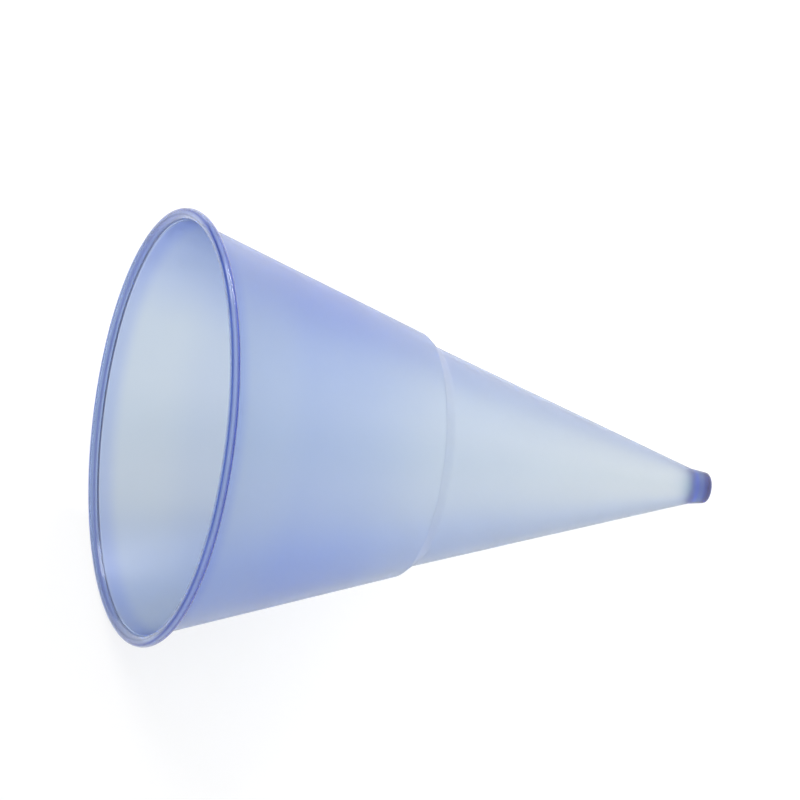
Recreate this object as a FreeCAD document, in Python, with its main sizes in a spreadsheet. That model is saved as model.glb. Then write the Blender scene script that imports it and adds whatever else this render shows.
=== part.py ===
import FreeCAD, Part
import Sketcher
import math
import os

# Plastic cone cup, drawn from one piece of sheet.
#
# A thin conical wall hangs from a rolled lip and thins towards the tip. A small step narrows it a
# little over half way up, and the blunt tip is thick, because the sheet was hardly drawn out there.
#
# The wall's section is one closed outline in a sketch, with the cup's axis upright and the middle
# of the tip's end face at the sketch's origin, and it is revolved once. A cone can't stand, so the
# finished cup lies on its side, on its lip and on the edge of its tip.
# Row frame: +Z up, mouth towards -X, tip towards +X, origin under the middle of the bounding box.

# Driving sizes: name, value in millimetres, meaning.
SIZES = [
    ("cup_height", 97.4, "tip's end face to the top of the lip"),
    ("lip_diameter", 73.0, "outside of the rolled lip"),
    ("lip_roll", 2.1, "outside diameter of the roll's own section"),
    ("lip_gap", 0.65, "left open between the rolled edge and the wall"),
    ("lip_gauge", 0.40, "sheet thickness in the lip and at the top of the wall"),
    ("step_gauge", 0.28, "sheet thickness at the step"),
    ("tip_gauge", 0.18, "sheet thickness where the wall meets the solid tip"),
    ("step_depth", 43.2, "top of the lip down to the step's upper edge"),
    ("step_fall", 2.2, "upper edge of the step down to its lower edge"),
    ("step_diameter", 41.0, "outside at the step's upper edge"),
    ("step_narrowing", 3.7, "how much less the wall measures across at the step's lower edge"),
    ("step_edge_round", 0.5, "radius along the step's upper edge"),
    ("step_root_round", 1.5, "outside radius along the step's lower edge"),
    ("tip_length", 3.4, "length of the blunt tip"),
    ("tip_diameter", 5.94, "outside where the wall meets the blunt tip"),
    ("tip_narrowing", 0.94, "how much less the tip measures across at its end, before rounding"),
    ("tip_edge_round", 0.95, "radius round the tip's end"),
    ("tip_solid", 2.4, "plastic between the end face and the bottom of the hollow"),
]

NODE = "cone_cup"

# Sketcher's numbers for a curve's points and for its own two axes, which start at its origin.
START, END, CENTRE = range(1, 4)
LEVEL_AXIS, UP_AXIS = range(-1, -3, -1)
ORIGIN = (LEVEL_AXIS, START)


def make_sheet(doc):
    """The spreadsheet of driving sizes, one row each: name, value and meaning."""
    sheet = doc.addObject("Spreadsheet::Sheet", "sizes")
    for row, (name, value, meaning) in enumerate(SIZES, start=1):
        sheet.set(f"A{row}", name)
        sheet.set(f"B{row}", str(value))
        sheet.set(f"C{row}", meaning)
        sheet.setAlias(f"B{row}", name)
    doc.recompute()
    return sheet


# Plane geometry, used to draw the outline close to its final shape before it is constrained.

def unit(vector):
    return vector / vector.Length


def left_of(direction):
    """A direction turned a quarter turn anticlockwise."""
    return FreeCAD.Vector(-direction.y, direction.x, 0)


def crossing(point, direction, other_point, other_direction):
    """Where two lines, each given by a point and a direction, cross."""
    gap = other_point - point
    share = gap.dot(left_of(other_direction)) / direction.dot(left_of(other_direction))
    return point + direction * share


def tangent_point(point, centre, radius):
    """Where the line that leaves a point and keeps a circle on its right touches the circle."""
    away = centre - point
    reach = math.sqrt(away.Length ** 2 - radius ** 2)
    side = unit(away) * (radius / away.Length)
    return centre - side * radius + left_of(side) * reach


def inner_corner(before, corner, after, gauge):
    """The corner of the sheet's inner face, opposite one of its outer face."""
    into, onward = unit(corner - before), unit(after - corner)
    return crossing(before + left_of(into) * gauge, into, after + left_of(onward) * gauge, onward)


def rounding(before, corner, after, radius):
    """Start, centre and end of the arc that rounds a corner."""
    back, onward = unit(before - corner), unit(after - corner)
    half_angle = back.getAngle(onward) / 2
    setback = radius / math.tan(half_angle)
    middle = unit(back + onward) * (radius / math.sin(half_angle))
    return corner + back * setback, corner + middle, corner + onward * setback


class Outline:
    """A chain of named lines and arcs in a sketch, each added in the order it is walked."""

    def __init__(self, sketch):
        self.sketch = sketch
        self.index = {}
        self.ends = {}

    def line(self, name, start, end):
        self.index[name] = self.sketch.addGeometry(Part.LineSegment(start, end), False)
        self.ends[name] = (START, END)

    def arc(self, name, start, centre, end, clockwise):
        """An arc; Sketcher holds every arc anticlockwise, so a clockwise one swaps its ends."""
        first, last = (end, start) if clockwise else (start, end)
        circle = Part.Circle(centre, FreeCAD.Vector(0, 0, 1), (start - centre).Length)
        from_angle = math.atan2(first.y - centre.y, first.x - centre.x)
        to_angle = math.atan2(last.y - centre.y, last.x - centre.x)
        arc = Part.ArcOfCircle(circle, from_angle, to_angle)
        self.index[name] = self.sketch.addGeometry(arc, False)
        self.ends[name] = (END, START) if clockwise else (START, END)

    def corner(self, name, place, *lines):
        """A reference point where two lines would meet if their corner weren't rounded."""
        self.index[name] = self.sketch.addGeometry(Part.Point(place), True)
        for line in lines:
            self.constrain("PointOnObject", *self.point(name), self.index[line])

    def point(self, name):
        return self.index[name], START

    def start(self, name):
        return self.index[name], self.ends[name][0]

    def end(self, name):
        return self.index[name], self.ends[name][1]

    def centre(self, name):
        return self.index[name], CENTRE

    def constrain(self, kind, *about):
        return self.sketch.addConstraint(Sketcher.Constraint(kind, *about))

    def smooth(self, *names):
        """Join each piece to the next, end to start, with no kink."""
        for name, following in zip(names, names[1:]):
            self.constrain("Tangent", *self.end(name), *self.start(following))

    def measure(self, name, kind, about, expression):
        """A dimension that follows an expression of the driving sizes."""
        number = self.constrain(kind, *about, self.measured(kind, about))
        self.sketch.renameConstraint(number, name)
        self.sketch.setExpression(f"Constraints.{name}", expression)

    def measured(self, kind, about):
        """What a dimension measures on the outline as it is drawn."""
        if kind == "Radius":
            return self.sketch.Geometry[about[0]].Radius
        from_point = self.sketch.getPoint(about[0], about[1])
        if kind == "Distance":
            line = self.sketch.Geometry[about[2]]
            direction = unit(line.EndPoint - line.StartPoint)
            return abs((from_point - line.StartPoint).dot(left_of(direction)))
        gap = self.sketch.getPoint(about[2], about[3]) - from_point
        return gap.x if kind == "DistanceX" else gap.y


def draw_section(outline, size):
    """Draw the wall's section, up the outside from the tip, round the lip and down the inside."""
    at = FreeCAD.Vector
    step_height = size["cup_height"] - size["step_depth"]
    end_middle = at(0, 0)
    end_corner = at((size["tip_diameter"] - size["tip_narrowing"]) / 2, 0)
    tip_top = at(size["tip_diameter"] / 2, size["tip_length"])
    step_upper = at(size["step_diameter"] / 2, step_height)
    step_lower = step_upper - at(size["step_narrowing"] / 2, size["step_fall"])

    roll_radius = size["lip_roll"] / 2
    hollow_radius = roll_radius - size["lip_gauge"]
    roll = at(size["lip_diameter"] / 2 - roll_radius, size["cup_height"] - roll_radius)
    outer_top = tangent_point(step_upper, roll, hollow_radius)
    short_of_wall = math.acos((hollow_radius - size["lip_gap"]) / roll_radius)
    turn_back = FreeCAD.Rotation(at(0, 0, 1), math.degrees(short_of_wall))
    roll_end = turn_back.multVec(unit(outer_top - roll))

    step_upper_in = inner_corner(step_lower, step_upper, outer_top, size["step_gauge"])
    step_lower_in = inner_corner(tip_top, step_lower, step_upper, size["step_gauge"])
    inner_top = tangent_point(step_upper_in, roll, roll_radius)
    wall_up = unit(step_lower - tip_top)
    down = unit(tip_top + left_of(wall_up) * size["tip_gauge"] - step_lower_in)
    outward = left_of(down)
    floor = at(0, size["tip_solid"])
    floor_radius = (step_lower_in - floor).dot(outward) / (1 + outward.y)
    floor_centre = floor + at(0, floor_radius)
    inner_end = floor_centre + outward * floor_radius

    edge = rounding(end_middle, end_corner, tip_top, size["tip_edge_round"])
    outer_root = rounding(tip_top, step_lower, step_upper, size["step_root_round"])
    outer_edge = rounding(step_lower, step_upper, outer_top, size["step_edge_round"])
    inner_edge = rounding(inner_top, step_upper_in, step_lower_in, size["step_edge_round"])
    root_radius_in = size["step_root_round"] + size["step_gauge"]
    inner_root = rounding(step_upper_in, step_lower_in, inner_end, root_radius_in)

    outline.line("end_face", end_middle, edge[0])
    outline.arc("end_edge", *edge, clockwise=False)
    outline.line("tip_side", edge[2], tip_top)
    outline.line("lower_outside", tip_top, outer_root[0])
    outline.arc("outer_root", *outer_root, clockwise=True)
    outline.line("step_outside", outer_root[2], outer_edge[0])
    outline.arc("outer_edge", *outer_edge, clockwise=False)
    outline.line("upper_outside", outer_edge[2], outer_top)
    outline.arc("roll_inside", outer_top, roll, roll + roll_end * hollow_radius, clockwise=True)
    outline.line("roll_end", roll + roll_end * hollow_radius, roll + roll_end * roll_radius)
    outline.arc("roll_outside", roll + roll_end * roll_radius, roll, inner_top, clockwise=False)
    outline.line("upper_inside", inner_top, inner_edge[0])
    outline.arc("inner_edge", *inner_edge, clockwise=True)
    outline.line("step_inside", inner_edge[2], inner_root[0])
    outline.arc("inner_root", *inner_root, clockwise=False)
    outline.line("lower_inside", inner_root[2], inner_end)
    outline.arc("floor", inner_end, floor_centre, floor, clockwise=True)
    outline.line("axis", floor, end_middle)

    outline.corner("end_corner", end_corner, "tip_side", "end_face")
    outline.corner("step_lower", step_lower, "lower_outside", "step_outside")
    outline.corner("step_upper", step_upper, "step_outside", "upper_outside")
    outline.corner("step_lower_in", step_lower_in, "step_inside", "lower_inside")
    outline.corner("step_upper_in", step_upper_in, "upper_inside", "step_inside")


def join_section(outline):
    """Hold the outline together: what meets, what runs on smoothly and what lies on the axis."""
    outline.constrain("Coincident", *outline.end("axis"), *ORIGIN)
    outline.constrain("PointOnObject", *outline.start("axis"), UP_AXIS)
    outline.constrain("Coincident", *outline.start("end_face"), *ORIGIN)
    outline.constrain("Horizontal", outline.index["end_face"])
    outline.smooth("end_face", "end_edge", "tip_side")
    outline.constrain("Coincident", *outline.end("tip_side"), *outline.start("lower_outside"))
    outline.smooth("lower_outside", "outer_root", "step_outside", "outer_edge", "upper_outside",
                   "roll_inside")
    outline.constrain("Coincident", *outline.centre("roll_inside"),
                      *outline.centre("roll_outside"))
    outline.constrain("Coincident", *outline.end("roll_inside"), *outline.start("roll_end"))
    outline.constrain("Coincident", *outline.end("roll_end"), *outline.start("roll_outside"))
    outline.constrain("PointOnObject", *outline.centre("roll_outside"), outline.index["roll_end"])
    outline.smooth("roll_outside", "upper_inside", "inner_edge", "step_inside", "inner_root",
                   "lower_inside", "floor")
    outline.constrain("Coincident", *outline.end("floor"), *outline.start("axis"))
    outline.constrain("PointOnObject", *outline.centre("floor"), UP_AXIS)


def size_section(outline):
    """Tie every dimension of the outline to the driving sizes."""
    def across(name, about, diameter):
        outline.measure(name, "DistanceX", ORIGIN + about, f"({diameter}) / 2")

    def up(name, about, height):
        outline.measure(name, "DistanceY", ORIGIN + about, height)

    def round_to(name, arc, radius):
        outline.measure(name, "Radius", (outline.index[arc],), radius)

    def thick(name, about, face, gauge):
        outline.measure(name, "Distance", about + (outline.index[face],), gauge)

    across("end_out", outline.point("end_corner"), "sizes.tip_diameter - sizes.tip_narrowing")
    round_to("end_round", "end_edge", "sizes.tip_edge_round")
    across("tip_out", outline.end("tip_side"), "sizes.tip_diameter")
    up("tip_up", outline.end("tip_side"), "sizes.tip_length")
    up("floor_up", outline.start("axis"), "sizes.tip_solid")

    across("step_upper_out", outline.point("step_upper"), "sizes.step_diameter")
    across("step_lower_out", outline.point("step_lower"),
           "sizes.step_diameter - sizes.step_narrowing")
    up("step_up", outline.point("step_upper"), "sizes.cup_height - sizes.step_depth")
    outline.measure("step_tall", "DistanceY",
                    outline.point("step_lower") + outline.point("step_upper"), "sizes.step_fall")
    round_to("outer_root_round", "outer_root", "sizes.step_root_round")
    round_to("outer_edge_round", "outer_edge", "sizes.step_edge_round")
    round_to("inner_edge_round", "inner_edge", "sizes.step_edge_round")
    round_to("inner_root_round", "inner_root", "sizes.step_root_round + sizes.step_gauge")

    across("roll_out", outline.centre("roll_outside"), "sizes.lip_diameter - sizes.lip_roll")
    up("roll_up", outline.centre("roll_outside"), "sizes.cup_height - sizes.lip_roll / 2")
    round_to("roll_round", "roll_outside", "sizes.lip_roll / 2")
    round_to("hollow_round", "roll_inside", "sizes.lip_roll / 2 - sizes.lip_gauge")
    thick("roll_gap", outline.end("roll_end"), "upper_outside", "sizes.lip_gap")

    upper_corner = outline.point("step_upper_in")
    lower_corner = outline.point("step_lower_in")
    thick("upper_gauge", upper_corner, "upper_outside", "sizes.step_gauge")
    thick("slope_gauge_top", upper_corner, "step_outside", "sizes.step_gauge")
    thick("slope_gauge_foot", lower_corner, "step_outside", "sizes.step_gauge")
    thick("lower_gauge", lower_corner, "lower_outside", "sizes.step_gauge")
    thick("foot_gauge", outline.end("lower_inside"), "lower_outside", "sizes.tip_gauge")


def lay_down(cup):
    """Lay the cup over until its lip and the edge of its tip both touch the ground.

    In section the lip's roll and the tip's rounded edge are two circles, and the ground is the
    line that touches both.
    """
    side_lean = "atan(sizes.tip_narrowing / 2 / sizes.tip_length)"
    edge_out = ("((sizes.tip_diameter - sizes.tip_narrowing) / 2 - sizes.tip_edge_round"
                f" * (1 - sin({side_lean})) / cos({side_lean}))")
    roll_out = "((sizes.lip_diameter - sizes.lip_roll) / 2)"
    roll_up = "(sizes.cup_height - sizes.lip_roll / 2)"
    out, along = f"({roll_out} - {edge_out})", f"({roll_up} - sizes.tip_edge_round)"
    tilt = (f"(atan({out} / {along})"
            f" + asin((sizes.lip_roll / 2 - sizes.tip_edge_round) / hypot({out}; {along})))")
    mouth_end = f"({roll_out} * sin({tilt}) + {roll_up} * cos({tilt}) + sizes.lip_roll / 2)"
    tip_end = f"({edge_out} * sin({tilt}) + sizes.tip_edge_round * (1 - cos({tilt})))"
    lift = f"{edge_out} * cos({tilt}) + sizes.tip_edge_round * (1 - sin({tilt}))"

    cup.Placement = FreeCAD.Placement(FreeCAD.Vector(), FreeCAD.Rotation(FreeCAD.Vector(0, -1, 0), 1))
    cup.setExpression("Placement.Rotation.Angle", f"90 deg - {tilt}")
    cup.setExpression("Placement.Base.x", f"({mouth_end} - {tip_end}) / 2")
    cup.setExpression("Placement.Base.z", lift)


def make_cup(doc, sheet):
    """The cup's body: its section revolved round the upright axis, then laid on its side."""
    cup = doc.addObject("PartDesign::Body", NODE)
    cup.Label = NODE
    section = cup.newObject("Sketcher::SketchObject", "wall_section")
    plane = next(item for item in cup.Origin.OriginFeatures if item.Role == "XZ_Plane")
    section.AttachmentSupport = [(plane, "")]
    section.MapMode = "FlatFace"

    outline = Outline(section)
    draw_section(outline, {name: float(sheet.get(name)) for name, _, _ in SIZES})
    join_section(outline)
    size_section(outline)
    doc.recompute()

    wall = cup.newObject("PartDesign::Revolution", "wall")
    wall.Profile = section
    wall.ReferenceAxis = (section, ["V_Axis"])
    wall.Angle = 360
    section.Visibility = False
    lay_down(cup)
    return cup


def check(doc, parts):
    """Stop if any object failed or any part is empty or invalid."""
    for item in doc.Objects:
        if "Invalid" in item.State or "Error" in item.State:
            raise RuntimeError(f"{item.Label} failed: {item.State}")
    for part in parts:
        if part.Shape.isNull() or not part.Shape.isValid() or len(part.Shape.Solids) != 1:
            raise RuntimeError(f"{part.Label} is not one valid solid")


def main():
    doc = FreeCAD.newDocument("cone_cup_document")
    parts = [make_cup(doc, make_sheet(doc))]
    doc.recompute()
    check(doc, parts)
    os.makedirs("parts", exist_ok=True)
    for part in parts:
        part.Shape.exportStep(f"parts/{part.Label}.step")
        box = part.Shape.BoundBox
        print(f"{part.Label}: {box.XLength:.2f} x {box.YLength:.2f} x {box.ZLength:.2f} mm,"
              f" {part.Shape.Volume / 1000:.3f} cm3")


main()
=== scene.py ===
import math

import bpy
from mathutils import Matrix, Vector


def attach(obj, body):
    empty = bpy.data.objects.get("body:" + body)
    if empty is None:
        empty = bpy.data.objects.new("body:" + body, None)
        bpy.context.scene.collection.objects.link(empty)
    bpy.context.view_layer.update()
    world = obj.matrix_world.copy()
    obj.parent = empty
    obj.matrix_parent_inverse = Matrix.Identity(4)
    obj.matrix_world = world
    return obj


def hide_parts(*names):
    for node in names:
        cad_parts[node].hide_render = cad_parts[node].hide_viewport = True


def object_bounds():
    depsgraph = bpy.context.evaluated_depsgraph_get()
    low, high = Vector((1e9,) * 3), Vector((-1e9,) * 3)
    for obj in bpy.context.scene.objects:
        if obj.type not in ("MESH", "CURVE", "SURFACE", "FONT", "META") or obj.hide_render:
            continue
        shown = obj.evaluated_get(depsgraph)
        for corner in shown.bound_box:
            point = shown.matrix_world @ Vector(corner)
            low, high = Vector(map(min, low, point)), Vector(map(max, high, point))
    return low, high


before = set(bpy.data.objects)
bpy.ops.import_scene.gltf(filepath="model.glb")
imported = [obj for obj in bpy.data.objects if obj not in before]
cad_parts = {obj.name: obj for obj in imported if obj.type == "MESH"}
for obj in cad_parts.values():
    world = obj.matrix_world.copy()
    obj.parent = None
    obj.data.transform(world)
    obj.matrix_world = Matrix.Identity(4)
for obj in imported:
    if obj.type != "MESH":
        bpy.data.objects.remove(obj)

cadBox = [list(corner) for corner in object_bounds()]  # the CAD parts' box; the cup is sized to its width
white = (1.0, 1.0, 1.0, 1.0)
noiseMiddle = 0.5


def addNode(tree, kind, feeds=None, **settings):
    node = tree.nodes.new(kind)
    for name, value in settings.items():
        setattr(node, name, value)
    for socket, value in (feeds or {}).items():
        if isinstance(value, bpy.types.NodeSocket):
            tree.links.new(value, node.inputs[socket])
        else:
            node.inputs[socket].default_value = value
    return node


def doMath(tree, operation, first, second=0.0):
    return addNode(tree, "ShaderNodeMath", {0: first, 1: second}, operation=operation).outputs[0]


def fade(tree, value, start, full, low=0.0, high=1.0, curve="SMOOTHSTEP"):
    return addNode(tree, "ShaderNodeMapRange", {
        "Value": value, "From Min": start, "From Max": full, "To Min": low, "To Max": high},
        interpolation_type=curve).outputs["Result"]


def mixColours(tree, share, first, second, way="MIX"):
    return addNode(tree, "ShaderNodeMixRGB", {0: share, 1: first, 2: second},
                   blend_type=way).outputs[0]


def axesOf(tree, vector):
    return addNode(tree, "ShaderNodeSeparateXYZ", {0: vector}).outputs


def addInput(tree, name, value):  # a colour or a number, with its own value to start from
    isColour = isinstance(value, tuple)
    kind = "NodeSocketColor" if isColour else "NodeSocketFloat"
    socket = tree.interface.new_socket(name, in_out="INPUT", socket_type=kind)
    socket.default_value = (*value, 1.0) if isColour else value


coneCup = {  # millimetres; the cup is drawn upright with its tip at the origin
    "height": 97.4,
    "lipDiameter": 73.0,
    "lipRoll": 2.1,          # width across the rolled edge's own section
    "rollTall": 1.8,         # the roll is a little flatter than it is wide
    "rollTuck": 0.033,       # keeps the flatter roll above the ground
    "lipGap": 0.65,          # left open between the rolled edge and the wall
    "lipGauge": 0.40,        # sheet thickness at the lip, at the step and above the tip
    "stepGauge": 0.28,
    "tipGauge": 0.18,
    "stepDepth": 43.2,       # top of the lip to the step's upper edge
    "stepFall": 2.2,
    "stepDiameter": 41.0,
    "stepNarrowing": 3.7,
    "stepEdgeRound": 0.5,
    "stepRootRound": 1.5,
    "tipLength": 3.4,
    "tipDiameter": 5.94,
    "tipNarrowing": 0.94,
    "tipEdgeRound": 0.95,
    "tipSolid": 2.4,         # plastic under the hollow
    "around": 288,           # faces round the axis
    "wallStep": 2.0,         # longest face down the wall
    "arcStep": 8.0,          # degrees of a round per face
    "waveHeight": 0.05,      # how far the thin wall strays from a true cone
    "waveLength": 22.0,
}


def leftOf(direction):
    return Vector((-direction.y, direction.x))


def crossing(point, direction, otherPoint, otherDirection):
    side = leftOf(otherDirection)
    return point + direction * ((otherPoint - point).dot(side) / direction.dot(side))


def tangentPoint(point, centre, radius):  # the line keeps the circle on its right
    away = centre - point
    reach = math.sqrt(away.length_squared - radius ** 2)
    side = away.normalized() * (radius / away.length)
    return centre - side * radius + leftOf(side) * reach


def innerCorner(before, corner, after, gauge):
    into, onward = (corner - before).normalized(), (after - corner).normalized()
    return crossing(before + leftOf(into) * gauge, into, after + leftOf(onward) * gauge, onward)


def straight(start, end, longest):
    count = max(1, math.ceil((end - start).length / longest))
    return [start.lerp(end, step / count) for step in range(count + 1)]


def arc(centre, start, turn, stepAngle, fewest=3):  # turn in radians, anticlockwise when positive
    count = max(fewest, math.ceil(abs(turn) / stepAngle))
    spoke = start - centre
    return [centre + Matrix.Rotation(turn * step / count, 2) @ spoke for step in range(count + 1)]


def rounded(before, corner, after, radius, stepAngle):
    back, onward = (before - corner).normalized(), (after - corner).normalized()
    half = back.angle(onward) / 2
    start = corner + back * (radius / math.tan(half))
    centre = corner + (back + onward).normalized() * (radius / math.sin(half))
    turn = math.pi - 2 * half
    if back.x * onward.y - back.y * onward.x > 0:
        turn = -turn
    return arc(centre, start, turn, stepAngle)


def rollMiddle(cup):
    inset = cup["rollTall"] / 2 + cup["rollTuck"]
    return Vector((cup["lipDiameter"] / 2 - inset, cup["height"] - inset))


def drawSection(cup):
    stepAngle = math.radians(cup["arcStep"])
    stepHeight = cup["height"] - cup["stepDepth"]
    endMiddle = Vector((0, 0))
    endCorner = Vector(((cup["tipDiameter"] - cup["tipNarrowing"]) / 2, 0))
    tipTop = Vector((cup["tipDiameter"] / 2, cup["tipLength"]))
    stepUpper = Vector((cup["stepDiameter"] / 2, stepHeight))
    stepLower = stepUpper - Vector((cup["stepNarrowing"] / 2, cup["stepFall"]))

    # the roll: a wide quarter next to the wall, then a smaller circle down to its free edge
    gauge = cup["lipGauge"]
    rollRadius = cup["rollTall"] / 2
    shoulderRadius = cup["lipRoll"] - rollRadius
    roll = rollMiddle(cup)
    shoulder = roll - Vector((0, shoulderRadius - rollRadius))
    outerTop = tangentPoint(stepUpper, shoulder, shoulderRadius - gauge)
    wallWay = (outerTop - stepUpper).normalized()
    toWall = (outerTop - roll).dot(leftOf(wallWay))
    rollTop = roll + Vector((0, rollRadius))
    endTurn = leftOf(wallWay).angle_signed(Vector((0, 1)))
    endTurn = 2 * math.pi - abs(endTurn) - math.acos((toWall - cup["lipGap"]) / rollRadius)

    stepUpperIn = innerCorner(stepLower, stepUpper, outerTop, cup["stepGauge"])
    stepLowerIn = innerCorner(tipTop, stepLower, stepUpper, cup["stepGauge"])
    innerTop = tangentPoint(stepUpperIn, shoulder, shoulderRadius)
    tipTopIn = tipTop + leftOf((stepLower - tipTop).normalized()) * cup["tipGauge"]
    outward = leftOf((tipTopIn - stepLowerIn).normalized())
    floor = Vector((0, cup["tipSolid"]))
    floorRadius = (stepLowerIn - floor).dot(outward) / (1 + outward.y)
    floorCentre = floor + Vector((0, floorRadius))
    innerEnd = floorCentre + outward * floorRadius

    hollowTop = rollTop - Vector((0, gauge))
    over = (outerTop - shoulder).angle(Vector((0, 1)))
    rollInside = arc(shoulder, outerTop, -over, stepAngle)
    rollInside += arc(roll, hollowTop, -endTurn, stepAngle)
    rollEnd = roll + (rollInside[-1] - roll).normalized() * rollRadius
    backOver = (innerTop - shoulder).angle(Vector((0, 1)))
    rollOutside = arc(roll, rollEnd, endTurn, stepAngle)
    rollOutside += arc(shoulder, rollTop, backOver, stepAngle)
    floorTurn = -math.atan2(outward.x, -outward.y)
    # each corner and the radius of its round: up the outside, then down the inside
    outsideCorners = [
        (endMiddle, 0), (endCorner, cup["tipEdgeRound"]), (tipTop, 0),
        (stepLower, cup["stepRootRound"]), (stepUpper, cup["stepEdgeRound"]), (outerTop, 0)]
    insideCorners = [
        (innerTop, 0), (stepUpperIn, cup["stepEdgeRound"]),
        (stepLowerIn, cup["stepRootRound"] + cup["stepGauge"]), (innerEnd, 0)]

    points = walk(outsideCorners, cup["wallStep"], stepAngle)
    points += rollInside + rollOutside
    points += walk(insideCorners, cup["wallStep"], stepAngle)
    points += arc(floorCentre, innerEnd, floorTurn, stepAngle)
    points = withoutDoubles(points)
    points[-1].x = 0  # on the axis
    return points


def withoutDoubles(points):
    sameSpot = 1e-6  # millimetres
    kept = points[:1]
    for point in points[1:]:
        if (point - kept[-1]).length > sameSpot:
            kept.append(point)
    return kept


def walk(corners, longest, stepAngle):
    points = [corners[0][0]]
    for index in range(1, len(corners)):
        corner, radius = corners[index]
        if radius and index + 1 < len(corners):
            bend = rounded(corners[index - 1][0], corner, corners[index + 1][0], radius, stepAngle)
        else:
            bend = [corner]
        points += straight(points[-1], bend[0], longest)[1:] + bend[1:]
    return points


def lyingPose(cup):
    # the cup lies on its lip, as if the roll were round, and on the tip's rounded edge
    lean = math.atan(cup["tipNarrowing"] / 2 / cup["tipLength"])
    edge = cup["tipEdgeRound"]
    endRadius = (cup["tipDiameter"] - cup["tipNarrowing"]) / 2
    edgeOut = endRadius - edge * (1 - math.sin(lean)) / math.cos(lean)
    rollRadius = cup["lipRoll"] / 2
    rollOut = cup["lipDiameter"] / 2 - rollRadius
    rollUp = cup["height"] - rollRadius
    tilt = math.atan((rollOut - edgeOut) / (rollUp - edge))
    tilt += math.asin((rollRadius - edge) / math.hypot(rollOut - edgeOut, rollUp - edge))
    mouthEnd = rollOut * math.sin(tilt) + rollUp * math.cos(tilt) + rollRadius
    tipEnd = edgeOut * math.sin(tilt) + edge * (1 - math.cos(tilt))
    lift = edgeOut * math.cos(tilt) + edge * (1 - math.sin(tilt))
    return tilt, Vector(((mouthEnd - tipEnd) / 2, 0, lift))


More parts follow.
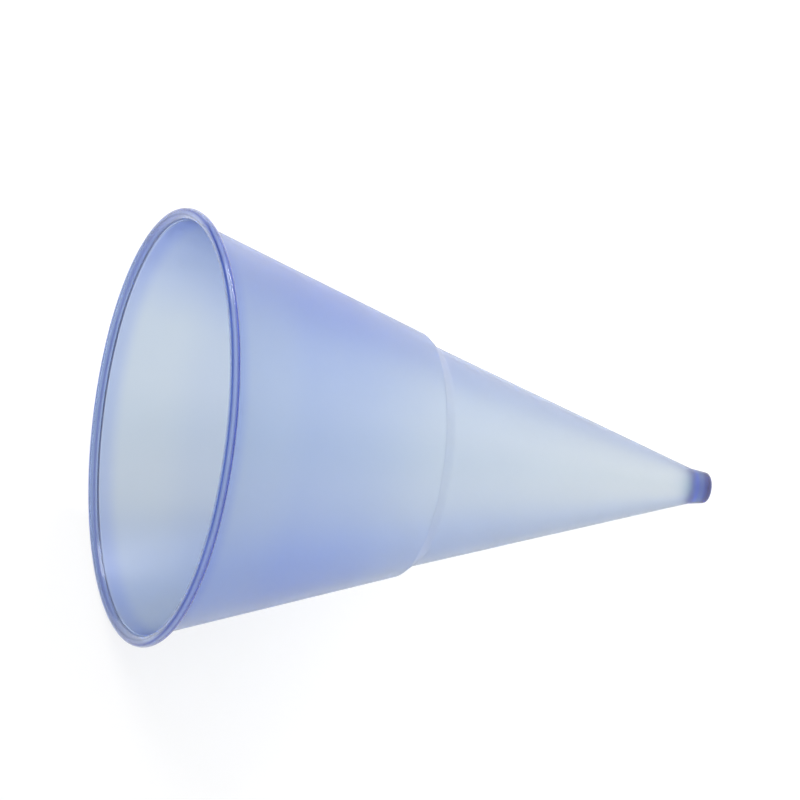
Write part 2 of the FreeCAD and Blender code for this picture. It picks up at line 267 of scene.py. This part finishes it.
def turnedWallTree():
    tree = bpy.data.node_groups.new("turnedWall", "GeometryNodeTree")
    sockets = [
        ("Section", "NodeSocketGeometry"), ("Around", "NodeSocketInt"), ("Lean", "NodeSocketFloat"),
        ("Place", "NodeSocketVector"), ("Height", "NodeSocketFloat"),
        ("Roll Radius", "NodeSocketFloat"), ("Roll Middle", "NodeSocketVector"),
        ("Wave Height", "NodeSocketFloat"), ("Wave Length", "NodeSocketFloat"),
        ("Wave Foot", "NodeSocketFloat"), ("Wave Head", "NodeSocketFloat"),
        ("Finish", "NodeSocketMaterial")]
    for name, kind in sockets:
        tree.interface.new_socket(name, in_out="INPUT", socket_type=kind)
    tree.interface.new_socket("Wall", in_out="OUTPUT", socket_type="NodeSocketGeometry")
    given = addNode(tree, "NodeGroupInput").outputs

    # a grid with one row for each point of the section and one column for each step round
    sectionSize = addNode(tree, "GeometryNodeAttributeDomainSize", {"Geometry": given["Section"]},
                          component="MESH")
    columns = doMath(tree, "ADD", given["Around"], 1.0)
    grid = addNode(tree, "GeometryNodeMeshGrid", {
        "Vertices X": sectionSize.outputs["Point Count"], "Vertices Y": columns})
    index = addNode(tree, "GeometryNodeInputIndex").outputs[0]
    halfStep = doMath(tree, "ADD", index, 0.5)  # so that no rounding error changes the row
    row = doMath(tree, "FLOOR", doMath(tree, "DIVIDE", halfStep, columns))
    column = doMath(tree, "SUBTRACT", index, doMath(tree, "MULTIPLY", row, columns))
    angle = doMath(tree, "MULTIPLY", doMath(tree, "DIVIDE", column, given["Around"]), 2 * math.pi)
    place = addNode(tree, "GeometryNodeInputPosition").outputs[0]
    onSection = addNode(tree, "GeometryNodeSampleIndex", {
        "Geometry": given["Section"], "Value": place, "Index": row},
        data_type="FLOAT_VECTOR", domain="POINT")
    turned = addNode(tree, "ShaderNodeVectorRotate", {
        "Vector": onSection.outputs["Value"], "Angle": angle}, rotation_type="Z_AXIS")
    outward = addNode(tree, "ShaderNodeVectorRotate", {"Vector": (1, 0, 0), "Angle": angle},
                      rotation_type="Z_AXIS")
    wall = addNode(tree, "GeometryNodeSetPosition", {
        "Geometry": grid.outputs["Mesh"], "Position": turned.outputs[0]})

    # where a point is on the upright cup, kept for the finish: direction from the axis, and
    # height as a share of the cup's
    height = axesOf(tree, turned.outputs[0])["Z"]
    side = axesOf(tree, outward.outputs[0])
    wallPlace = addNode(tree, "ShaderNodeCombineXYZ", {
        "X": side["X"], "Y": side["Y"], "Z": doMath(tree, "DIVIDE", height, given["Height"])})
    kept = addNode(tree, "GeometryNodeStoreNamedAttribute", {
        "Geometry": wall.outputs["Geometry"], "Name": "wallPlace", "Value": wallPlace.outputs[0]},
        data_type="FLOAT_VECTOR", domain="POINT")
    # where a point is on the rolled lip: from the middle of the roll, in shares of its radius
    fromRoll = addNode(tree, "ShaderNodeVectorMath", {
        0: onSection.outputs["Value"], 1: given["Roll Middle"]}, operation="SUBTRACT")
    drawn = axesOf(tree, fromRoll.outputs["Vector"])
    lipPlace = addNode(tree, "ShaderNodeCombineXYZ", {
        "X": doMath(tree, "DIVIDE", drawn["X"], given["Roll Radius"]),
        "Y": doMath(tree, "DIVIDE", drawn["Z"], given["Roll Radius"])})
    kept = addNode(tree, "GeometryNodeStoreNamedAttribute", {
        "Geometry": kept.outputs["Geometry"], "Name": "lipPlace", "Value": lipPlace.outputs[0]},
        data_type="FLOAT_VECTOR", domain="POINT")
    # the thin wall strays a little from a true cone, most at the belly between tip and lip
    waves = addNode(tree, "ShaderNodeTexNoise", {
        "Vector": place, "Scale": doMath(tree, "DIVIDE", 1.0, given["Wave Length"]),
        "Detail": 1.0}, noise_dimensions="3D")
    stray = doMath(tree, "SUBTRACT", waves.outputs["Fac"], noiseMiddle)
    share = fade(tree, height, given["Wave Foot"], given["Wave Head"], curve="LINEAR")
    belly = doMath(tree, "MULTIPLY", share, doMath(tree, "SUBTRACT", 1.0, share))
    fullStray = 8.0  # one over the noise's half times the belly's quarter
    amount = doMath(tree, "MULTIPLY", doMath(tree, "MULTIPLY", stray, belly),
                    doMath(tree, "MULTIPLY", given["Wave Height"], fullStray))
    push = addNode(tree, "ShaderNodeVectorMath", {0: outward.outputs[0], "Scale": amount},
                   operation="SCALE")
    strayed = addNode(tree, "GeometryNodeSetPosition", {
        "Geometry": kept.outputs["Geometry"], "Offset": push.outputs[0]})

    sameSpot = 1e-7  # metres; closes the seam and both ends on the axis
    closed = addNode(tree, "GeometryNodeMergeByDistance", {
        "Geometry": strayed.outputs["Geometry"], "Distance": sameSpot})
    facingOut = addNode(tree, "GeometryNodeFlipFaces", {"Mesh": closed.outputs["Geometry"]})
    overTurn = addNode(tree, "FunctionNodeAxisAngleToRotation", {
        "Axis": (0, -1, 0), "Angle": given["Lean"]})
    laid = addNode(tree, "GeometryNodeTransform", {
        "Geometry": facingOut.outputs["Mesh"], "Translation": given["Place"],
        "Rotation": overTurn.outputs[0]})
    smooth = addNode(tree, "GeometryNodeSetShadeSmooth", {"Geometry": laid.outputs["Geometry"]})
    real = addNode(tree, "GeometryNodeRealizeInstances", {"Geometry": smooth.outputs["Geometry"]})
    finished = addNode(tree, "GeometryNodeSetMaterial", {
        "Geometry": real.outputs["Geometry"], "Material": given["Finish"]})
    addNode(tree, "NodeGroupOutput", {"Wall": finished.outputs["Geometry"]})
    return tree


def setInputs(modifier, values):
    for item in modifier.node_group.interface.items_tree:
        if item.item_type == "SOCKET" and item.in_out == "INPUT" and item.name in values:
            modifier[item.identifier] = values[item.name]


def makeCup(cup, finish):
    width = cadBox[1][1] - cadBox[0][1]  # across the lip
    unit = width / cup["lipDiameter"]  # metres for each millimetre drawn
    points = [point * unit for point in drawSection(cup)]
    section = bpy.data.meshes.new("coneCupSection")
    section.from_pydata([(point.x, 0, point.y) for point in points],
                        [(step, step + 1) for step in range(len(points) - 1)], [])
    drawn = bpy.data.objects.new("coneCupDrawing", section)
    bpy.context.collection.objects.link(drawn)

    tilt, place = lyingPose(cup)
    roll = rollMiddle(cup)
    lathe = drawn.modifiers.new("turnedWall", "NODES")
    lathe.node_group = turnedWallTree()
    setInputs(lathe, {
        "Around": cup["around"], "Lean": math.pi / 2 - tilt, "Place": place * unit,
        "Height": cup["height"] * unit, "Roll Radius": cup["rollTall"] / 2 * unit,
        "Roll Middle": Vector((roll.x, 0, roll.y)) * unit,
        "Wave Height": cup["waveHeight"] * unit, "Wave Length": cup["waveLength"] * unit,
        "Wave Foot": cup["tipLength"] * unit, "Wave Head": (cup["height"] - cup["lipRoll"]) * unit,
        "Finish": finish})
    depsgraph = bpy.context.evaluated_depsgraph_get()
    mesh = bpy.data.meshes.new_from_object(drawn.evaluated_get(depsgraph),
                                           preserve_all_data_layers=True, depsgraph=depsgraph)
    mesh.name = "coneCupWall"
    mesh.materials.pop(index=0)  # the empty slot that the tree leaves
    wall = bpy.data.objects.new("coneCupWall", mesh)
    bpy.context.collection.objects.link(wall)
    bpy.data.objects.remove(drawn)
    print("cup turned:", len(points), "points in the section,", len(mesh.polygons), "faces")
    return wall


bluePlastic = {
    "ior": 1.49,
    "clear": 0.90,           # the rest is milkiness
    "depthColour": (0.25, 0.55, 0.965, 1.0),  # what light turns to, the deeper it goes
    "depthRate": 1000.0,     # how soon it does, per metre of plastic
    "wallRoughness": 0.34,
    "lipRoughness": 0.09,
    "roughnessSpread": 0.04,
    "blotch": 9.0,           # millimetres from one dull patch to the next
    "streak": 1.6,           # millimetres between the faint lines that run along the wall
    "streakLength": 14.0,
    "grain": 0.35,           # millimetres from one fine bump to the next
    "streakDepth": 0.012,    # millimetres, as is the grain's
    "grainDepth": 0.004,
    # the plastic's colour down the cup: darker at the tip, deeper blue towards the lip
    "alongCup": {  # share of the cup's height where each starts and is full, and its colour
        "tip": (0.0, 0.0, (0.66, 0.56, 0.42)),
        "tipRoot": (0.013, 0.021, (1.0, 1.0, 0.60)),
        "aboveTip": (0.024, 0.032, (0.90, 0.92, 0.94)),
        "pale": (0.032, 0.052, (0.98, 0.98, 1.0)),
        "middle": (0.20, 0.50, (0.95, 0.96, 1.0)),
        "deep": (0.55, 0.74, (0.813, 0.857, 1.0)),
        "belowLip": (0.82, 0.90, (0.885, 0.915, 1.0)),
        "lip": (0.950, 0.978, (0.69, 0.75, 1.0)),
    },
    # painted shade round the axis: deeper blue towards the lying cup's edges as the camera sees
    # them, greyer in the middle; from its lower edge (-1) to its upper edge (1): where each band
    # starts, is full, stops being full and ends, and its colour
    "shadeBands": {
        "upperSide": ((0.50, 0.92, 1.1, 1.2), (0.775, 0.81, 0.927)),
        "midway": ((-0.28, 0.0, 0.0, 0.28), (0.945, 0.95, 0.893)),
        "underSide": ((-1.0, -0.82, -0.73, -0.35), (0.86, 0.90, 0.97)),
    },
    "bandDeepens": (0.35, 0.70, 0.5),  # shares of the height, and how much of a band shows below
    "facing": (0.99, 0.98, 0.912),     # painted shade between the bands: a little greyer
    "facingTurn": -42.5,     # degrees round the axis from the lying cup's top to its near side
    "paintedMouthShade": (0.88, 0.88, 0.84),    # painted shade on the wall's far side near the mouth, seen inside the cup
    "paintedMouthShadeHeight": (0.68, 0.80),    # share of the height where it starts and is full
    "paintedMouthShadeSide": (0.2, -0.6),       # the same, from the near side (1) to the far side (-1)
    # the rolled lip's finish: how far from the middle of the roll it starts and is full, in shares
    # of the roll's radius
    "rollFromWall": (1.42, 1.34),
    "rollFromHollow": (0.90, 0.96),
    "roll": (0.95, 0.97, 1.0),
    "lipShadeLines": {  # painted shade: the dark lines that the clear roll shows by refraction; degrees round the roll to a line's middle and on to its edge, and colour
        "underside": (-24.0, 39.0, (0.01, 0.03, 0.42)),
        "outside": (51.0, 29.0, (0.10, 0.15, 0.55)),
        "top": (108.0, 20.0, (0.42, 0.44, 0.50)),
    },
}


def lipShadeLinesGroup(look):
    lines = look["lipShadeLines"]
    tree = bpy.data.node_groups.new("lipShadeLines", "ShaderNodeTree")
    tree.interface.new_socket("Color", in_out="INPUT", socket_type="NodeSocketColor")
    addInput(tree, "roll", look["roll"])
    for name, (turn, width, colour) in lines.items():
        addInput(tree, name, colour)
        addInput(tree, name + " Turn", math.radians(turn))
        addInput(tree, name + " Width", math.radians(width))
    tree.interface.new_socket("Color", in_out="OUTPUT", socket_type="NodeSocketColor")
    tree.interface.new_socket("On Lip", in_out="OUTPUT", socket_type="NodeSocketFloat")
    given = addNode(tree, "NodeGroupInput").outputs
    place = addNode(tree, "ShaderNodeAttribute", attribute_name="lipPlace").outputs["Vector"]
    away = addNode(tree, "ShaderNodeVectorMath", {0: place}, operation="LENGTH").outputs["Value"]
    axes = axesOf(tree, place)
    onLip = doMath(tree, "MULTIPLY", fade(tree, away, *look["rollFromWall"], curve="LINEAR"),
                   fade(tree, away, *look["rollFromHollow"], curve="LINEAR"))
    colour = mixColours(tree, onLip, given["Color"], given["roll"])
    # each line is painted shade, for the dark lines that the clear roll shows by refraction
    for name in lines:
        # how far the point's direction is from the line's, both seen from the middle of the roll
        turn, width = given[name + " Turn"], given[name + " Width"]
        toLine = doMath(tree, "ADD",
                        doMath(tree, "MULTIPLY", axes["X"], doMath(tree, "COSINE", turn)),
                        doMath(tree, "MULTIPLY", axes["Y"], doMath(tree, "SINE", turn)))
        off = doMath(tree, "ARCCOSINE", doMath(tree, "DIVIDE", toLine, away))
        share = doMath(tree, "MULTIPLY", fade(tree, off, width, 0.0), onLip)
        dark = mixColours(tree, share, white, given[name])
        colour = mixColours(tree, 1.0, colour, dark, "MULTIPLY")
    addNode(tree, "NodeGroupOutput", {"Color": colour, "On Lip": onLip})
    return tree


def plasticColourAndShadeGroup(look):
    colours, shadeBands = look["alongCup"], look["shadeBands"]
    tree = bpy.data.node_groups.new("plasticColourAndShade", "ShaderNodeTree")
    for name, row in (*colours.items(), *shadeBands.items()):
        addInput(tree, name, row[-1])
    for name in ("facing", "paintedMouthShade"):
        addInput(tree, name, look[name])
    addInput(tree, "Facing Turn", math.radians(look["facingTurn"]))
    tree.interface.new_socket("Color", in_out="OUTPUT", socket_type="NodeSocketColor")
    given = addNode(tree, "NodeGroupInput").outputs
    place = addNode(tree, "ShaderNodeAttribute", attribute_name="wallPlace").outputs["Vector"]
    height = axesOf(tree, place)["Z"]
    names = list(colours)
    colour = given[names[0]]
    for name in names[1:]:
        start, full, _ = colours[name]
        colour = mixColours(tree, fade(tree, height, start, full), colour, given[name])

    # the cup's near, far, upper and lower sides, as it lies and as the camera sees it, where shade
    # is painted
    turned = addNode(tree, "ShaderNodeVectorRotate", {
        "Vector": place, "Angle": doMath(tree, "MULTIPLY", given["Facing Turn"], -1.0)},
        rotation_type="Z_AXIS")
    sides = axesOf(tree, turned.outputs[0])
    deepen = fade(tree, height, *look["bandDeepens"])
    # painted shade: deeper blue towards the edges that the camera sees, greyer between them
    paintedEdgeShade = given["facing"]
    for name, (places, _) in shadeBands.items():
        share = deepen
        for start, full in (places[:2], places[:1:-1]):
            share = doMath(tree, "MULTIPLY", share, fade(tree, sides["Y"], start, full))
        paintedEdgeShade = mixColours(tree, share, paintedEdgeShade, given[name])
    # painted shade on the far wall inside the mouth
    far = doMath(tree, "MULTIPLY", fade(tree, sides["X"], *look["paintedMouthShadeSide"]),
                 fade(tree, height, *look["paintedMouthShadeHeight"]))
    paintedMouthShade = mixColours(tree, far, white, given["paintedMouthShade"])
    for factor in (paintedEdgeShade, paintedMouthShade):
        colour = mixColours(tree, 1.0, colour, factor, "MULTIPLY")
    addNode(tree, "NodeGroupOutput", {"Color": colour})
    return tree


def plasticGrainGroup():
    tree = bpy.data.node_groups.new("plasticGrain", "ShaderNodeTree")
    for name in ("Wall Roughness", "Lip Roughness", "On Lip", "Spread", "Blotch", "Streak",
                 "Streak Length", "Grain", "Streak Depth", "Grain Depth", "Cup Height"):
        tree.interface.new_socket(name, in_out="INPUT", socket_type="NodeSocketFloat")
    for name in ("Roughness", "Height"):
        tree.interface.new_socket(name, in_out="OUTPUT", socket_type="NodeSocketFloat")
    given = addNode(tree, "NodeGroupInput").outputs
    wallPlace = addNode(tree, "ShaderNodeAttribute", attribute_name="wallPlace").outputs["Vector"]
    along = axesOf(tree, wallPlace)
    place = addNode(tree, "ShaderNodeTexCoord").outputs["Object"]

    blotches = addNode(tree, "ShaderNodeTexNoise", {
        "Vector": place, "Scale": doMath(tree, "DIVIDE", 1.0, given["Blotch"]), "Detail": 3.0})
    fullBlotch = 4.0  # the noise strays about a quarter either way
    blotch = doMath(tree, "SUBTRACT", blotches.outputs["Fac"], noiseMiddle)
    spread = doMath(tree, "MULTIPLY", blotch,
                    doMath(tree, "MULTIPLY", given["Spread"], fullBlotch))
    wallRoughness = doMath(tree, "ADD", given["Wall Roughness"], spread)
    roughness = addNode(tree, "ShaderNodeMix", {
        "Factor": given["On Lip"], "A": wallRoughness, "B": given["Lip Roughness"]},
        data_type="FLOAT")

    # streaks: stretched along the wall, because the sheet was drawn out that way
    streakRadius = 0.3  # where they are as wide as named, in shares of the cup's height
    aside = doMath(tree, "DIVIDE", given["Cup Height"], given["Streak"])
    stretched = addNode(tree, "ShaderNodeCombineXYZ", {
        "X": doMath(tree, "MULTIPLY", doMath(tree, "MULTIPLY", along["X"], streakRadius), aside),
        "Y": doMath(tree, "MULTIPLY", doMath(tree, "MULTIPLY", along["Y"], streakRadius), aside),
        "Z": doMath(tree, "MULTIPLY", along["Z"],
                    doMath(tree, "DIVIDE", given["Cup Height"], given["Streak Length"]))})
    streaks = addNode(tree, "ShaderNodeTexNoise", {
        "Vector": stretched.outputs[0], "Scale": 1.0, "Detail": 1.0})
    grain = addNode(tree, "ShaderNodeTexNoise", {
        "Vector": place, "Scale": doMath(tree, "DIVIDE", 1.0, given["Grain"]), "Detail": 0.0})
    height = doMath(tree, "ADD",
                    doMath(tree, "MULTIPLY", streaks.outputs["Fac"], given["Streak Depth"]),
                    doMath(tree, "MULTIPLY", grain.outputs["Fac"], given["Grain Depth"]))
    # the bent lip is smooth
    height = doMath(tree, "MULTIPLY", height, doMath(tree, "SUBTRACT", 1.0, given["On Lip"]))
    addNode(tree, "NodeGroupOutput", {"Roughness": roughness.outputs["Result"], "Height": height})
    return tree


def makePlastic(look, cup, colourAndShadeGroup, shadeLinesGroup, grainGroup):
    unit = 0.001  # metres in a millimetre
    finish = bpy.data.materials.new("bluePlastic")
    finish.use_nodes = True
    tree = finish.node_tree
    tree.nodes.clear()
    tint = addNode(tree, "ShaderNodeGroup", node_tree=colourAndShadeGroup)
    lines = addNode(tree, "ShaderNodeGroup", node_tree=shadeLinesGroup)
    tree.links.new(tint.outputs["Color"], lines.inputs["Color"])
    grain = addNode(tree, "ShaderNodeGroup", node_tree=grainGroup)
    tree.links.new(lines.outputs["On Lip"], grain.inputs["On Lip"])
    for name, value in {
            "Wall Roughness": look["wallRoughness"], "Lip Roughness": look["lipRoughness"],
            "Spread": look["roughnessSpread"], "Blotch": look["blotch"] * unit,
            "Streak": look["streak"] * unit, "Streak Length": look["streakLength"] * unit,
            "Grain": look["grain"] * unit, "Streak Depth": look["streakDepth"],
            "Grain Depth": look["grainDepth"], "Cup Height": cup["height"] * unit}.items():
        grain.inputs[name].default_value = value
    bump = addNode(tree, "ShaderNodeBump", {
        "Strength": 1.0, "Distance": unit, "Height": grain.outputs["Height"]})
    shader = addNode(tree, "ShaderNodeBsdfPrincipled", {
        "Base Color": lines.outputs["Color"], "Roughness": grain.outputs["Roughness"],
        "IOR": look["ior"], "Transmission Weight": look["clear"], "Normal": bump.outputs["Normal"]})
    inside = addNode(tree, "ShaderNodeVolumeAbsorption", {
        "Color": look["depthColour"], "Density": look["depthRate"]})
    addNode(tree, "ShaderNodeOutputMaterial", {
        "Surface": shader.outputs[0], "Volume": inside.outputs[0]})
    return finish


paleFloor = {
    "colour": (0.20, 0.20, 0.20, 1.0),
    "roughness": 0.7,
    "glow": (0.80, 0.97),    # it is a light table, a little brighter at the right
    "glowTurn": (-0.05, 0.03),  # metres along X where the one gives way to the other
    "backGlow": 1.13,        # how much brighter it is behind a line that runs under the cup
    "backLine": (0.150, 1.0, 0.0253),  # X share, Y share and where the line is, in metres
    "backFade": 0.012,       # metres each side of the line
    "half": 4.0,             # metres from the middle to each edge
}


def makeFloor(look):
    half = look["half"]
    mesh = bpy.data.meshes.new("floor")
    mesh.from_pydata([(-half, -half, 0), (half, -half, 0), (half, half, 0), (-half, half, 0)],
                     [], [(0, 1, 2, 3)])
    finish = bpy.data.materials.new("paleFloor")
    finish.use_nodes = True
    tree = finish.node_tree
    shader = tree.nodes["Principled BSDF"]
    shader.inputs["Base Color"].default_value = look["colour"]
    shader.inputs["Roughness"].default_value = look["roughness"]
    shader.inputs["Emission Color"].default_value = white
    axes = axesOf(tree, addNode(tree, "ShaderNodeTexCoord").outputs["Object"])
    glow = fade(tree, axes["X"], *look["glowTurn"], *look["glow"])
    slant, straightOn, line = look["backLine"]
    behind = doMath(tree, "ADD", doMath(tree, "MULTIPLY", axes["X"], slant),
                    doMath(tree, "MULTIPLY", axes["Y"], straightOn))
    back = fade(tree, behind, line - look["backFade"], line + look["backFade"],
                1.0, look["backGlow"])
    tree.links.new(doMath(tree, "MULTIPLY", glow, back), shader.inputs["Emission Strength"])
    mesh.materials.append(finish)
    floor = bpy.data.objects.new("floor", mesh)
    bpy.context.collection.objects.link(floor)
    return floor


room = {
    "brightSide": (0.7, -0.2, 0.7),  # where the room is brightest, as seen from the cup
    "brightGlow": 1.05,
    "dimGlow": 0.3,
    "glowTurn": (-0.5, 0.9),  # dim up to the first and bright from the second, as the cosine of
                              # the angle from that side
}
softboxes = {  # degrees from straight behind the cup towards its tip, and up; then metres
    "overhead": {
        "azimuth": -7.0, "elevation": 50.0, "distance": 1.5, "size": (0.6, 0.6), "glow": 1.3},
    "backCorner": {
        "azimuth": 38.0, "elevation": 37.0, "distance": 1.2, "size": (0.55, 0.08), "glow": 10.0},
}


def makeSoftbox(name, box):
    turn, up = math.radians(box["azimuth"]), math.radians(box["elevation"])
    away = Vector((math.sin(turn) * math.cos(up), math.cos(turn) * math.cos(up), math.sin(up)))
    lamp = bpy.data.lights.new(name, "AREA")
    lamp.shape = "RECTANGLE"
    lamp.size, lamp.size_y = box["size"]
    glowPower = math.pi ** 2  # watts a square metre for a glow of 1, which shows as pi times white
    lamp.energy = box["glow"] * glowPower * lamp.size * lamp.size_y
    softbox = bpy.data.objects.new(name, lamp)
    softbox.matrix_world = (Matrix.Translation(away * box["distance"])
                            @ away.to_track_quat("Z", "Y").to_matrix().to_4x4())
    bpy.context.collection.objects.link(softbox)


def makeLight(look, boxes):
    for name, box in boxes.items():
        makeSoftbox(name, box)
    world = bpy.data.worlds.new("studio")
    world.use_nodes = True
    tree = world.node_tree
    direction = addNode(tree, "ShaderNodeTexCoord").outputs["Generated"]
    toBright = addNode(tree, "ShaderNodeVectorMath", {
        0: direction, 1: Vector(look["brightSide"]).normalized()}, operation="DOT_PRODUCT")
    strength = fade(tree, toBright.outputs["Value"], *look["glowTurn"],
                    look["dimGlow"], look["brightGlow"])
    sky = tree.nodes["Background"]
    sky.inputs["Color"].default_value = white
    tree.links.new(strength, sky.inputs["Strength"])
    bpy.context.scene.world = world
    bpy.context.scene.view_settings.view_transform = "Standard"


view = {
    "elevation": 50.0,       # degrees, as are the next two
    "azimuth": 6.93,
    "roll": -1.34,
    "distance": 2.0,         # metres from the middle of the cup
    "fieldWidth": 0.132,     # metres across that the camera takes in at the cup
    "sensorWidth": 36.0,     # millimetres
    "clip": (0.05, 20.0),
}


def makeCamera(look):
    low, high = (Vector(corner) for corner in cadBox)
    middle = (low + high) / 2
    up, turn = math.radians(look["elevation"]), math.radians(look["azimuth"])
    back = Vector((-math.sin(turn) * math.cos(up), -math.cos(turn) * math.cos(up), math.sin(up)))
    lens = bpy.data.cameras.new("camera")
    lens.sensor_width = look["sensorWidth"]
    lens.lens = lens.sensor_width * look["distance"] / look["fieldWidth"]
    lens.clip_start, lens.clip_end = look["clip"]
    camera = bpy.data.objects.new("camera", lens)
    bpy.context.collection.objects.link(camera)
    facing = back.to_track_quat("Z", "Y").to_matrix().to_4x4()
    camera.matrix_world = (Matrix.Translation(middle + back * look["distance"]) @ facing
                           @ Matrix.Rotation(math.radians(look["roll"]), 4, "Z"))
    bpy.context.scene.camera = camera


makeCamera(view)
makeLight(room, softboxes)
floor = makeFloor(paleFloor)
print("studio set")

colourAndShadeGroup = plasticColourAndShadeGroup(bluePlastic)
grainGroup = plasticGrainGroup()
shadeLinesGroup = lipShadeLinesGroup(bluePlastic)
finish = makePlastic(bluePlastic, coneCup, colourAndShadeGroup, shadeLinesGroup, grainGroup)
print("plastic mixed")

wall = makeCup(coneCup, finish)
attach(wall, "root")
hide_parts("cone_cup")

bpy.context.view_layer.update()
